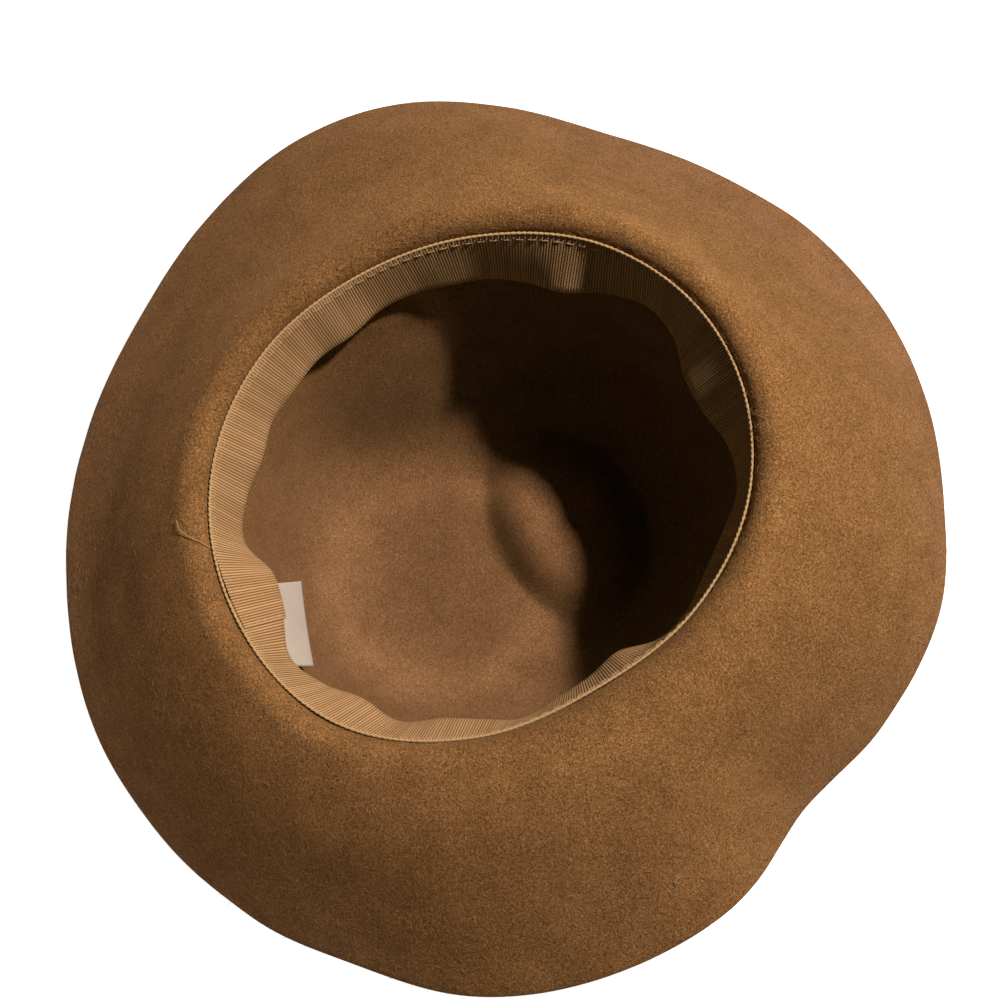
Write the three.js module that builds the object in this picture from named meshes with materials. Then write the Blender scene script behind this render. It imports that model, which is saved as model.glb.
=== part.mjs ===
// Wide-brim hat of soft brown felt, lying upside down on the tip of its crown.
//
// Millimetres. +Z is up, the front of the hat is toward -Y, the back toward +Y, and the wearer's left
// toward -X. An azimuth is an angle about the opening's centre: 0 at +X, 90 at the back, 180 at -X and
// 270 at the front. The origin is the middle of the hat's outline, on the surface that it lies on.

import * as THREE from 'three';

// Where the opening's centre stands in the part's frame, and how high the opening is.
const OPENING_X = 3;
const OPENING_Y = -4;
const OPENING_HEIGHT = 111;

// Felt: its thickness, and the lengths of the round turn out of the crown and of the brim beyond it.
const FELT = 2;
const TURN_LENGTH = 14;
const TURN_START_SLOPE = -80;
const BRIM_LENGTH = 84;

// Grosgrain ribbon: its size, the azimuth of its first end, how many degrees its last end laps over that,
// how far it steps inward for the lap, and the stretch before the lap over which it does so.
const RIBBON_WIDTH = 25;
const RIBBON_THICKNESS = 1;
const RIBBON_START = 86;
const RIBBON_LAP = 7;
const LAP_STEP = 1.35;
const LAP_RAMP = 16;

// Label: how far it reaches up behind the ribbon and down below it, its lean, its two azimuths, and how
// far it lies behind the ribbon, whose facets are longer than its own.
const LABEL_THICKNESS = 0.8;
const LABEL_TUCK = 10;
const LABEL_DROP = 20.5;
const LABEL_LEAN = 18;
const LABEL_FROM = 83.5;
const LABEL_TO = 101.5;
const LABEL_BEHIND = 0.7;

// The gap kept between touching pieces.
const GAP = 0.35;

// Facets round the hat, along the turn, the brim and the ribbon, and across and down the label.
const AROUND = 72;
const TURN_STEPS = 4;
const BRIM_STEPS = 8;
const RIBBON_STEPS = 3;
const LABEL_STEPS = 6;
const LABEL_DROP_STEPS = 3;

// The opening: its radius every 30 degrees, a long oval that is a little uneven.
const OPENING = [
  { at: 0, radius: 88 },
  { at: 30, radius: 92 },
  { at: 60, radius: 96 },
  { at: 90, radius: 98 },
  { at: 120, radius: 99 },
  { at: 150, radius: 92 },
  { at: 180, radius: 86.5 },
  { at: 210, radius: 91 },
  { at: 240, radius: 97 },
  { at: 270, radius: 99.5 },
  { at: 300, radius: 96.5 },
  { at: 330, radius: 90 },
];

// The brim every 15 degrees: its fall in degrees near the opening, halfway out and at its edge.
const BRIM = [
  { at: 0, near: 44, middle: 35, edge: 37 },
  { at: 15, near: 47, middle: 42, edge: 36 },
  { at: 30, near: 47, middle: 50, edge: 38 },
  { at: 45, near: 47, middle: 51, edge: 39 },
  { at: 60, near: 43, middle: 53, edge: 38 },
  { at: 75, near: 39, middle: 52, edge: 40 },
  { at: 90, near: 34, middle: 48, edge: 45 },
  { at: 105, near: 27, middle: 49, edge: 48 },
  { at: 120, near: 21, middle: 48, edge: 49 },
  { at: 135, near: 13, middle: 46, edge: 43 },
  { at: 150, near: 8, middle: 32, edge: 32 },
  { at: 165, near: 4, middle: 25, edge: 32 },
  { at: 180, near: 2, middle: 27, edge: 43 },
  { at: 195, near: 2, middle: 52, edge: 61 },
  { at: 210, near: 6, middle: 50, edge: 60 },
  { at: 225, near: 13, middle: 46, edge: 62 },
  { at: 240, near: 24, middle: 52, edge: 63 },
  { at: 255, near: 35, middle: 55, edge: 58 },
  { at: 270, near: 56, middle: 54, edge: 46 },
  { at: 285, near: 65, middle: 54, edge: 41 },
  { at: 300, near: 60, middle: 59, edge: 41 },
  { at: 315, near: 47, middle: 59, edge: 47 },
  { at: 330, near: 36, middle: 49, edge: 50 },
  { at: 345, near: 38, middle: 37, edge: 45 },
];

// The crown from the opening to the middle of its tip: depth, and share of the opening's radius there.
const CROWN = [
  { depth: 0, share: 1 },
  { depth: 20, share: 0.972 },
  { depth: 45, share: 0.935 },
  { depth: 68, share: 0.89 },
  { depth: 84, share: 0.84 },
  { depth: 94, share: 0.785 },
  { depth: 101, share: 0.715 },
  { depth: 105.5, share: 0.64 },
  { depth: 108, share: 0.565 },
  { depth: 109, share: 0.48 },
  { depth: 109, share: 0.38 },
  { depth: 109, share: 0.26 },
  { depth: 109, share: 0.13 },
  { depth: 109, share: 0 },
];

// Pinches in the front half of the crown's wall: where they are deepest, how far they spread, how deep.
// Where the crown's share of the opening's radius is less than PINCH_FADE, they die away.
const PINCHES = [
  { at: 348, depth: 118, spread: 56, tall: 106, inward: 21 },
  { at: 200, depth: 100, spread: 40, tall: 80, inward: 5 },
];
const PINCH_FADE = 0.6;

// The dent pushed up into the crown's tip, a low plateau with a steep edge: its middle, its half sizes,
// its rise and the depth from which it has its whole rise.
const DENT = { x: -4, y: -20.5, halfX: 44, halfY: 30, rise: 12, wholeFrom: 100 };

// The ribbon's free edge: how far it leans in from the sewn edge every 10 degrees, fold by fold.
const RIBBON_LEAN = [
  { at: 0, lean: 6 },
  { at: 10, lean: 9 },
  { at: 20, lean: 8 },
  { at: 30, lean: 9 },
  { at: 40, lean: 8 },
  { at: 50, lean: 10 },
  { at: 60, lean: 7 },
  { at: 70, lean: 6 },
  { at: 80, lean: 14 },
  { at: 90, lean: 13 },
  { at: 100, lean: 6.5 },
  { at: 110, lean: 9 },
  { at: 120, lean: 12.5 },
  { at: 130, lean: 9 },
  { at: 140, lean: 11 },
  { at: 150, lean: 9.5 },
  { at: 160, lean: 6.5 },
  { at: 170, lean: 8 },
  { at: 180, lean: 9 },
  { at: 190, lean: 11 },
  { at: 200, lean: 6 },
  { at: 210, lean: 6 },
  { at: 220, lean: 8 },
  { at: 230, lean: 8 },
  { at: 240, lean: 6 },
  { at: 250, lean: 8.5 },
  { at: 260, lean: 15 },
  { at: 270, lean: 16 },
  { at: 280, lean: 10 },
  { at: 290, lean: 7 },
  { at: 300, lean: 10 },
  { at: 310, lean: 14.5 },
  { at: 320, lean: 11 },
  { at: 330, lean: 8 },
  { at: 340, lean: 7.5 },
  { at: 350, lean: 6 },
];

const toRadians = THREE.MathUtils.degToRad;

// A smooth curve through four even values, at the share t from the second to the third.
function smooth(before, from, to, after, t) {
  const line = (to - before) * t;
  const square = (2 * before - 5 * from + 4 * to - after) * t * t;
  const cube = (3 * from - 3 * to + after - before) * t * t * t;
  return 0.5 * (2 * from + line + square + cube);
}

// A column of a table whose evenly spaced rows go once round the hat.
function around(rows, column, azimuth) {
  const place = ((((azimuth % 360) + 360) % 360) * rows.length) / 360;
  const row = Math.floor(place);
  const value = (step) => rows[(row + step + rows.length) % rows.length][column];
  return smooth(value(-1), value(0), value(1), value(2), place - row);
}

// 1 in the middle, falling smoothly to 0 at a distance of 1.
function hump(distance) {
  const inside = Math.max(0, 1 - distance * distance);
  return inside * inside;
}

// A point at an azimuth, a radius from the opening's centre and a height.
function point(azimuth, radius, height) {
  const x = OPENING_X + radius * Math.cos(toRadians(azimuth));
  const y = OPENING_Y + radius * Math.sin(toRadians(azimuth));
  return new THREE.Vector3(x, y, height);
}

// How far outward and upward a distance along an arc leads, if its slope turns evenly along its length.
function alongArc(length, startSlope, endSlope, distance) {
  const start = toRadians(startSlope);
  const turned = ((toRadians(endSlope) - start) * distance) / length;
  const middle = start + turned / 2;
  const chord = turned === 0 ? distance : (distance * Math.sin(turned / 2)) / (turned / 2);
  return { out: chord * Math.cos(middle), up: -chord * Math.sin(middle) };
}

// The side of the brim that shows from above, at a distance from the opening.
function brimPoint(azimuth, distance) {
  const near = around(BRIM, 'near', azimuth);
  const middle = around(BRIM, 'middle', azimuth);
  const edge = around(BRIM, 'edge', azimuth);
  const half = BRIM_LENGTH / 2;
  const onBrim = Math.max(distance - TURN_LENGTH, 0);
  const turn = alongArc(TURN_LENGTH, TURN_START_SLOPE, near, Math.min(distance, TURN_LENGTH));
  const first = alongArc(half, near, middle, Math.min(onBrim, half));
  const second = alongArc(half, middle, edge, Math.max(onBrim - half, 0));
  const radius = around(OPENING, 'radius', azimuth) + turn.out + first.out + second.out;
  return point(azimuth, radius, OPENING_HEIGHT + turn.up + first.up + second.up);
}

// The inside of the crown on one row of its table, with the pinches and the dent.
function crownPoint(azimuth, row) {
  const { depth, share } = CROWN[row];
  let radius = around(OPENING, 'radius', azimuth) * share;
  for (const pinch of PINCHES) {
    const aside = THREE.MathUtils.euclideanModulo(azimuth - pinch.at + 180, 360) - 180;
    const strength = hump(aside / pinch.spread) * hump((depth - pinch.depth) / pinch.tall);
    radius -= pinch.inward * strength * Math.min(1, share / PINCH_FADE);
  }
  const inside = point(azimuth, radius, OPENING_HEIGHT - depth);
  const fromDentX = (inside.x - OPENING_X - DENT.x) / DENT.halfX;
  const fromDentY = (inside.y - OPENING_Y - DENT.y) / DENT.halfY;
  const lift = DENT.rise * hump(fromDentX ** 2 + fromDentY ** 2);
  inside.z += lift * Math.min(1, depth / DENT.wholeFrom);
  return inside;
}

// The felt's visible side as rings of points, from the brim's edge in to the middle of the crown.
function feltRings() {
  const rings = [];
  const ring = (place) => {
    const points = [];
    for (let step = 0; step < AROUND; step += 1) {
      points.push(place((360 * step) / AROUND));
    }
    rings.push(points);
  };
  for (let step = BRIM_STEPS; step > 0; step -= 1) {
    ring((azimuth) => brimPoint(azimuth, TURN_LENGTH + (BRIM_LENGTH * step) / BRIM_STEPS));
  }
  for (let step = TURN_STEPS; step > 0; step -= 1) {
    ring((azimuth) => brimPoint(azimuth, (TURN_LENGTH * step) / TURN_STEPS));
  }
  for (let row = 0; row < CROWN.length - 1; row += 1) {
    ring((azimuth) => crownPoint(azimuth, row));
  }
  return rings;
}

// The felt's other side: each point moved by the felt's thickness against the surface's normal.
function otherSide(rings, middle) {
  return rings.map((points, index) =>
    points.map((here, step) => {
      const outer = rings[Math.max(index - 1, 0)][step];
      const inner = index + 1 < rings.length ? rings[index + 1][step] : middle;
      const next = points[(step + 1) % points.length];
      const last = points[(step + points.length - 1) % points.length];
      const across = new THREE.Vector3().subVectors(outer, inner);
      const round = new THREE.Vector3().subVectors(next, last);
      const normal = across.cross(round).normalize();
      return here.clone().addScaledVector(normal, -FELT);
    }),
  );
}

// A closed mesh from a list of points and a list of triangles, each three indices.
function meshOf(name, points, triangles, material) {
  const geometry = new THREE.BufferGeometry();
  geometry.setFromPoints(points);
  geometry.setIndex(triangles.flat());
  geometry.computeVertexNormals();
  const mesh = new THREE.Mesh(geometry, material);
  mesh.name = name;
  return mesh;
}

// The crown and brim as one wall of felt: two sides, joined round the brim's edge.
function feltBody(material) {
  const visible = feltRings();
  const visibleMiddle = crownPoint(0, CROWN.length - 1);
  const hidden = otherSide(visible, visibleMiddle);
  const hiddenMiddle = visibleMiddle.clone().setZ(visibleMiddle.z - FELT);
  const points = [...visible.flat(), ...hidden.flat(), visibleMiddle, hiddenMiddle];
  const hiddenStart = visible.length * AROUND;
  const visibleCentre = 2 * hiddenStart;
  const hiddenCentre = visibleCentre + 1;
  const triangles = [];
  for (let step = 0; step < AROUND; step += 1) {
    const next = (step + 1) % AROUND;
    for (let ring = 0; ring + 1 < visible.length; ring += 1) {
      const a = ring * AROUND + step;
      const b = ring * AROUND + next;
      const c = a + AROUND;
      const d = b + AROUND;
      triangles.push([a, b, c], [b, d, c]);
      triangles.push([a + hiddenStart, c + hiddenStart, b + hiddenStart]);
      triangles.push([b + hiddenStart, c + hiddenStart, d + hiddenStart]);
    }
    const last = (visible.length - 1) * AROUND;
    triangles.push([last + step, last + next, visibleCentre]);
    triangles.push([last + next + hiddenStart, last + step + hiddenStart, hiddenCentre]);
    triangles.push([next, step, hiddenStart + step]);
    triangles.push([next, hiddenStart + step, hiddenStart + next]);
  }
  return meshOf('felt_body', points, triangles, material);
}

// A slab between two grids of points with the same rows and columns; the first grid faces the viewer.
function slab(name, front, back, material) {
  const rows = front.length;
  const columns = front[0].length;
  const points = [...front.flat(), ...back.flat()];
  const backStart = rows * columns;
  const triangles = [];
  const at = (row, column) => row * columns + column;
  for (let row = 0; row + 1 < rows; row += 1) {
    for (let column = 0; column + 1 < columns; column += 1) {
      const a = at(row, column);
      const b = at(row, column + 1);
      const c = at(row + 1, column);
      const d = at(row + 1, column + 1);
      triangles.push([a, c, b], [b, c, d]);
      triangles.push([a + backStart, b + backStart, c + backStart]);
      triangles.push([b + backStart, d + backStart, c + backStart]);
    }
  }
  const border = [];
  for (let column = 0; column + 1 < columns; column += 1) {
    border.push([at(0, column), at(0, column + 1)]);
    border.push([at(rows - 1, column + 1), at(rows - 1, column)]);
  }
  for (let row = 0; row + 1 < rows; row += 1) {
    border.push([at(row + 1, 0), at(row, 0)]);
    border.push([at(row, columns - 1), at(row + 1, columns - 1)]);
  }
  for (const [from, to] of border) {
    triangles.push([from, to, from + backStart]);
    triangles.push([to, to + backStart, from + backStart]);
  }
  return meshOf(name, points, triangles, material);
}

// A point of the ribbon: how far from its sewn edge, and how far behind its visible face.
function ribbonPoint(azimuth, fromSewnEdge, behind) {
  const lean = around(RIBBON_LEAN, 'lean', azimuth);
  const inward = (lean * fromSewnEdge) / RIBBON_WIDTH;
  const down = Math.sqrt(RIBBON_WIDTH ** 2 - lean ** 2) * (fromSewnEdge / RIBBON_WIDTH);
  const face = around(OPENING, 'radius', azimuth) - GAP - RIBBON_THICKNESS;
  return point(azimuth, face - inward + behind, OPENING_HEIGHT - down);
}

// The ribbon, once round the opening; its last stretch steps inward and laps over its start.
function sweatband(material) {
  const facet = 360 / AROUND;
  const lapStart = RIBBON_START + 360;
  const azimuths = [RIBBON_START];
  for (let step = 1; step <= AROUND; step += 1) {
    azimuths.push((Math.floor(RIBBON_START / facet) + step) * facet);
  }
  azimuths.push(lapStart, lapStart + RIBBON_LAP / 2, lapStart + RIBBON_LAP);
  const inward = (azimuth) => {
    return -LAP_STEP * THREE.MathUtils.smoothstep(azimuth, lapStart - LAP_RAMP, lapStart);
  };
  const grid = (behind) =>
    azimuths.map((azimuth) => {
      const column = [];
      for (let step = 0; step <= RIBBON_STEPS; step += 1) {
        const fromSewnEdge = (RIBBON_WIDTH * step) / RIBBON_STEPS;
        column.push(ribbonPoint(azimuth, fromSewnEdge, behind + inward(azimuth)));
      }
      return column;
    });
  return slab('sweatband', grid(0), grid(RIBBON_THICKNESS), material);
}

// A point of the label: beside the ribbon's back as far as its free edge, then straight down and inward.
function labelPoint(azimuth, fromSewnEdge, behind) {
  const besideRibbon = Math.min(fromSewnEdge, RIBBON_WIDTH);
  const below = Math.max(fromSewnEdge - RIBBON_WIDTH, 0);
  const top = ribbonPoint(azimuth, besideRibbon, RIBBON_THICKNESS + LABEL_BEHIND + behind);
  const inward = below * Math.sin(toRadians(LABEL_LEAN));
  top.x -= inward * Math.cos(toRadians(azimuth));
  top.y -= inward * Math.sin(toRadians(azimuth));
  top.z -= below * Math.cos(toRadians(LABEL_LEAN));
  return top;
}

// The label: tucked behind the ribbon at the back of the hat, hanging below its free edge.
function label(material) {
  const edges = [RIBBON_WIDTH - LABEL_TUCK, RIBBON_WIDTH - LABEL_TUCK / 2, RIBBON_WIDTH];
  for (let step = 1; step <= LABEL_DROP_STEPS; step += 1) {
    edges.push(RIBBON_WIDTH + (LABEL_DROP * step) / LABEL_DROP_STEPS);
  }
  const grid = (behind) => {
    const columns = [];
    for (let step = 0; step <= LABEL_STEPS; step += 1) {
      const azimuth = THREE.MathUtils.lerp(LABEL_FROM, LABEL_TO, step / LABEL_STEPS);
      columns.push(edges.map((edge) => labelPoint(azimuth, edge, behind)));
    }
    return columns;
  };
  return slab('label', grid(0), grid(LABEL_THICKNESS), material);
}

const felt = new THREE.MeshStandardMaterial({ color: 0x8f6438, roughness: 0.95, metalness: 0 });
const grosgrain = new THREE.MeshStandardMaterial({ color: 0xb48c58, roughness: 0.8, metalness: 0 });
const satin = new THREE.MeshStandardMaterial({ color: 0xe6ddd0, roughness: 0.6, metalness: 0 });

const hat = new THREE.Group();
hat.add(feltBody(felt), sweatband(grosgrain), label(satin));

export default hat;
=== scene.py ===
# %% [markdown]
# A soft felt hat with a wide brim lies upside down on the tip of its crown. It is seen from above, so the
# underside of the brim and the inside of the crown show. This lesson builds its surfaces with numpy, one
# piece at a time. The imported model, which holds the hat's true size and place, is loaded first.

# %% Load the frame
import math

import bpy
import numpy as np
from mathutils import Matrix


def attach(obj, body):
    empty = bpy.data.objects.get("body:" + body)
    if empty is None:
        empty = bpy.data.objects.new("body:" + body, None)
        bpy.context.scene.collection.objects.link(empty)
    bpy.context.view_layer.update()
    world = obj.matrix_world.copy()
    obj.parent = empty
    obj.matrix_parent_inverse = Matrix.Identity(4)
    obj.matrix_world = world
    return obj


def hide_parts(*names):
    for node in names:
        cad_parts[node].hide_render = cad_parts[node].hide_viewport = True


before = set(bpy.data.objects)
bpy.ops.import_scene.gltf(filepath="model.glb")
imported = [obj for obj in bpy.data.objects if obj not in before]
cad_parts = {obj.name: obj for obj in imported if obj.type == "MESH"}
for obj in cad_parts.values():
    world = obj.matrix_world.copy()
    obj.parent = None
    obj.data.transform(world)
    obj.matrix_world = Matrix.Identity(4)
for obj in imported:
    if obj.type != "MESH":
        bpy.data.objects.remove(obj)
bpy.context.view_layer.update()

MM = 0.001

# %% [markdown]
# Everything hangs on a few sizes. The hat's opening is a long oval whose radius is given every 30 degrees,
# the brim is a strip of constant width whose slope is given every 15 degrees, and the crown is a list of
# rings. The same tables made the plain solid, so the fine surface lies where that solid lies, to about
# half a millimetre. An azimuth of 0 points to +X, 90 to the back of the hat, 180 to -X and 270 to the front.

# %% Sizes of the opening and the brim, in millimetres
OPENING_CENTRE = np.array([3.0, -4.0])
OPENING_HEIGHT = 111.0
FELT_THICKNESS = 2.0
TURN_LENGTH = 14.0
TURN_START_SLOPE = -80.0
BRIM_LENGTH = 84.0

# radius of the opening every 30 degrees
OPENING_RADIUS = np.array([88.0, 92.0, 96.0, 98.0, 99.0, 92.0, 86.5, 91.0, 97.0, 99.5, 96.5, 90.0])

# fall of the brim every 15 degrees: near the opening, halfway out and at its edge
BRIM_FALL = np.array([
    (44.0, 35.0, 37.0),
    (47.0, 42.0, 36.0),
    (47.0, 50.0, 38.0),
    (47.0, 51.0, 39.0),
    (43.0, 53.0, 38.0),
    (39.0, 52.0, 40.0),
    (34.0, 48.0, 45.0),
    (27.0, 49.0, 48.0),
    (21.0, 48.0, 49.0),
    (13.0, 46.0, 43.0),
    (8.0, 32.0, 32.0),
    (4.0, 25.0, 32.0),
    (2.0, 27.0, 43.0),
    (2.0, 52.0, 61.0),
    (6.0, 50.0, 60.0),
    (13.0, 46.0, 62.0),
    (24.0, 52.0, 63.0),
    (35.0, 55.0, 58.0),
    (56.0, 54.0, 46.0),
    (65.0, 54.0, 41.0),
    (60.0, 59.0, 41.0),
    (47.0, 59.0, 47.0),
    (36.0, 49.0, 50.0),
    (38.0, 37.0, 45.0),
])
print(f"brim {TURN_LENGTH + BRIM_LENGTH:.0f} mm wide along the felt")

# %% Sizes of the crown, in millimetres
# the crown from the opening to the middle of its tip: depth, share of the opening's radius
CROWN_RINGS = np.array([
    (0.0, 1.0),
    (20.0, 0.972),
    (45.0, 0.935),
    (68.0, 0.89),
    (84.0, 0.84),
    (94.0, 0.785),
    (101.0, 0.715),
    (105.5, 0.64),
    (108.0, 0.565),
    (109.0, 0.48),
    (109.0, 0.38),
    (109.0, 0.26),
    (109.0, 0.13),
    (109.0, 0.0),
])

# pinches in the crown's wall: azimuth, depth, half spread in degrees, half height, how far inward
PINCHES = [
    (348.0, 118.0, 56.0, 106.0, 21.0),
    (200.0, 100.0, 40.0, 80.0, 5.0),
]
# on the tip a pinch fades out inward from this share of the opening's radius
PINCH_FADE = 0.6

# the dent in the tip: middle x and y from the opening's centre, half sizes, rise, and the depth in the
# crown at which it has its whole rise
DENT_MIDDLE = np.array([-4.0, -20.5])
DENT_HALF = np.array([44.0, 30.0])
DENT_RISE = 12.0
DENT_DEPTH = 100.0
print(f"crown {CROWN_RINGS[-1, 0]:.0f} mm deep, its tip's dent {DENT_RISE:.0f} mm high")

# %% [markdown]
# A table holds only a few values, but bent felt has no corners. Straight lines between the values would
# show as facets, so a cubic curve is laid through them. The Catmull-Rom cubic meets every value of its
# table and turns smoothly there, so the tables can stay short.

# %% Curves through the tables
def smooth(before, start, end, after, share):
    """The Catmull-Rom cubic from start to end, read at a share of the way.

    Its slope at each of the two is half the difference between that value's neighbours.
    """
    line = (end - before) * share
    square = (2 * before - 5 * start + 4 * end - after) * share**2
    cube = (3 * start - 3 * end + after - before) * share**3
    return 0.5 * (2 * start + line + square + cube)


def around(values, azimuth):
    """Evenly spaced values that go once round the hat, read at any azimuth by the smooth curve."""
    count = len(values)
    place = np.mod(azimuth, 360.0) * count / 360.0
    row = np.floor(place).astype(int)
    near = [values[(row + step) % count] for step in (-1, 0, 1, 2)]
    return smooth(*near, place - row)


def along(values, place):
    """A column of rows with two ends, read at a fractional row by the smooth curve."""
    last = len(values) - 1
    row = np.clip(np.floor(place).astype(int), 0, last - 1)
    near = [values[np.clip(row + step, 0, last)] for step in (-1, 0, 1, 2)]
    return smooth(*near, place - row)


def hump(distance):
    """The square of 1 minus the distance squared: 1 at a distance of 0, and 0 from 1 on."""
    return np.clip(1 - distance**2, 0, None) ** 2


print(f"opening radius at 45 degrees: {around(OPENING_RADIUS, 45.0):.1f} mm")

# %% [markdown]
# A felt brim has no seams: it is pulled over a block and steamed. Going outward from the crown, the felt
# turns over in a tight round and then falls in a longer, slightly curved slope. A sculpted mesh could
# follow it, but the round and the slope are arcs whose fall changes evenly with the distance along them,
# so each has a short formula. The crown is read from its rings, pinched and dented.

# %% The brim and the crown as surfaces of two parameters
def stand(azimuth, radius, height):
    """Points at a height: the opening's centre plus the radius times the azimuth's cosine and sine."""
    angle = np.radians(azimuth)
    x = OPENING_CENTRE[0] + radius * np.cos(angle)
    y = OPENING_CENTRE[1] + radius * np.sin(angle)
    return np.stack(np.broadcast_arrays(x, y, height), axis=-1)


def along_arc(length, start_fall, end_fall, distance):
    """How far out and up a distance along an arc leads, when its fall turns evenly from start to end.

    The chord of an arc that has turned by t is its length times sin(t / 2) / (t / 2), and it points
    along the arc's middle fall.
    """
    turned = np.radians(end_fall - start_fall) * distance / length
    middle = np.radians(start_fall) + turned / 2
    chord = distance * np.sinc(turned / 2 / np.pi)
    return chord * np.cos(middle), -chord * np.sin(middle)


def brim_surface(azimuth, distance):
    """The brim's visible side: the opening's radius and height plus three arcs, at each azimuth."""
    near, middle, edge = [around(BRIM_FALL[:, column], azimuth) for column in (0, 1, 2)]
    half = BRIM_LENGTH / 2
    on_brim = np.maximum(distance - TURN_LENGTH, 0)
    turn = along_arc(TURN_LENGTH, TURN_START_SLOPE, near, np.minimum(distance, TURN_LENGTH))
    first = along_arc(half, near, middle, np.minimum(on_brim, half))
    second = along_arc(half, middle, edge, np.maximum(on_brim - half, 0))
    radius = around(OPENING_RADIUS, azimuth) + turn[0] + first[0] + second[0]
    return stand(azimuth, radius, OPENING_HEIGHT + turn[1] + first[1] + second[1])


def crown_surface(azimuth, place):
    """The crown's inside: rings from the table, pushed in by the pinches and lifted by the dent.

    A pinch is a hump round the hat times a hump up and down. The dent is a hump of the squared distance
    from its middle, counted in its half sizes.
    """
    depth = along(CROWN_RINGS[:, 0], place)
    share = along(CROWN_RINGS[:, 1], place)
    radius = around(OPENING_RADIUS, azimuth) * share
    for at, pinch_depth, spread, tall, inward in PINCHES:
        aside = np.mod(azimuth - at + 180, 360) - 180
        strength = hump(aside / spread) * hump((depth - pinch_depth) / tall)
        radius = radius - inward * strength * np.minimum(1, share / PINCH_FADE)
    points = stand(azimuth, radius, OPENING_HEIGHT - depth)
    from_dent = (points[..., :2] - OPENING_CENTRE - DENT_MIDDLE) / DENT_HALF
    lift = DENT_RISE * hump(np.sum(from_dent**2, axis=-1)) * np.minimum(1, depth / DENT_DEPTH)
    points[..., 2] += lift
    return points


front_edge = brim_surface(np.array(270.0), np.array(TURN_LENGTH + BRIM_LENGTH))
print("front of the brim's edge in millimetres:", np.round(front_edge, 1))

# %% [markdown]
# Blender wants corners and faces. Every surface here is a grid of points, so its faces are the squares of
# the grid, and a few whole-array helpers make any piece from it. A grid could be subdivided and bent by
# modifiers instead, but then its true size would be harder to keep.

# %% Helpers that turn grids of points into meshes
SHORTEST = 1e-9


def unit(vectors):
    """Vectors divided by their own lengths, where a length under SHORTEST counts as SHORTEST."""
    return vectors / np.maximum(np.linalg.norm(vectors, axis=-1, keepdims=True), SHORTEST)


def normals_of(points, closed):
    """Unit normals of a grid: the cross product of its row and column differences."""
    down = np.gradient(points, axis=0)
    if closed:
        round_it = np.roll(points, -1, axis=1) - np.roll(points, 1, axis=1)
    else:
        round_it = np.gradient(points, axis=1)
    return unit(np.cross(round_it, down))


def quads(rows, columns, close_rows=False, close_columns=False):
    """Corner indices of the squares of a grid, row times columns plus column, closed on itself or not."""
    row = np.arange(rows if close_rows else rows - 1)[:, None]
    column = np.arange(columns if close_columns else columns - 1)[None, :]
    next_row = (row + 1) % rows
    next_column = (column + 1) % columns
    corners = [
        row * columns + column,
        row * columns + next_column,
        next_row * columns + next_column,
        next_row * columns + column,
    ]
    return np.stack(np.broadcast_arrays(*corners), axis=-1).reshape(-1, 4)


def make_piece(name, points, groups, material, uv=None):
    """A mesh object from points in millimetres and arrays of faces with equal corners, shaded smooth."""
    mesh = bpy.data.meshes.new(name)
    faces = sum((group.tolist() for group in groups), [])
    mesh.from_pydata((points.reshape(-1, 3) * MM).tolist(), [], faces)
    mesh.polygons.foreach_set("use_smooth", np.ones(len(mesh.polygons), dtype=bool))
    if uv is not None:
        corners = np.empty(len(mesh.loops), dtype=np.int32)
        mesh.loops.foreach_get("vertex_index", corners)
        layer = mesh.uv_layers.new(name="surface")
        layer.data.foreach_set("uv", uv.reshape(-1, 2)[corners].astype(np.float32).ravel())
    mesh.materials.append(material)
    mesh.validate()
    mesh.update()
    piece = bpy.data.objects.new(name, mesh)
    bpy.context.scene.collection.objects.link(piece)
    triangles = len(mesh.loops) - 2 * len(mesh.polygons)
    print(f"{name}: {len(mesh.vertices)} points, {triangles} triangles")
    return piece


print("a closed ring of 3 by 4 points has", len(quads(3, 4, close_columns=True)), "squares")

# %% [markdown]
# Materials come before the pieces. They are networks of nodes, which could be joined by hand in the
# shader editor. Here a short function adds each kind of node, so that a material reads like a recipe.

# %% Helpers that add nodes for numbers
def feed(tree, value, socket):
    """Links another node's output to a socket, or sets a number or colour on it."""
    if isinstance(value, bpy.types.NodeSocket):
        tree.links.new(value, socket)
    elif value is not None:
        socket.default_value = value


def new_group(name, inputs, outputs):
    """A shader node group with named float inputs (name, default) and outputs (name, socket type)."""
    tree = bpy.data.node_groups.new(name, "ShaderNodeTree")
    for socket, default in inputs:
        made = tree.interface.new_socket(name=socket, in_out="INPUT", socket_type="NodeSocketFloat")
        made.default_value = default
    for socket, kind in outputs:
        tree.interface.new_socket(name=socket, in_out="OUTPUT", socket_type=kind)
    return tree, tree.nodes.new("NodeGroupInput"), tree.nodes.new("NodeGroupOutput")


def add_group(tree, group, values=()):
    """A shared node group placed in a material, its inputs set to values in their order."""
    node = tree.nodes.new("ShaderNodeGroup")
    node.node_tree = group
    for value, socket in zip(values, node.inputs):
        socket.default_value = value
    return node


def add_math(tree, operation, first, second=None, clamp=False):
    """A Math node whose operands are sockets or numbers; returns its output socket."""
    node = tree.nodes.new("ShaderNodeMath")
    node.operation = operation
    node.use_clamp = clamp
    feed(tree, first, node.inputs[0])
    feed(tree, second, node.inputs[1])
    return node.outputs[0]


def add_noise(tree, place, scale, character):
    """A Noise Texture's value; its character is a detail, a roughness and a distortion."""
    node = tree.nodes.new("ShaderNodeTexNoise")
    names = ("Vector", "Scale", "Detail", "Roughness", "Distortion")
    for name, value in zip(names, (place, scale, *character)):
        feed(tree, value, node.inputs[name])
    return node.outputs["Fac"]


print("node groups so far:", len(bpy.data.node_groups))

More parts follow.
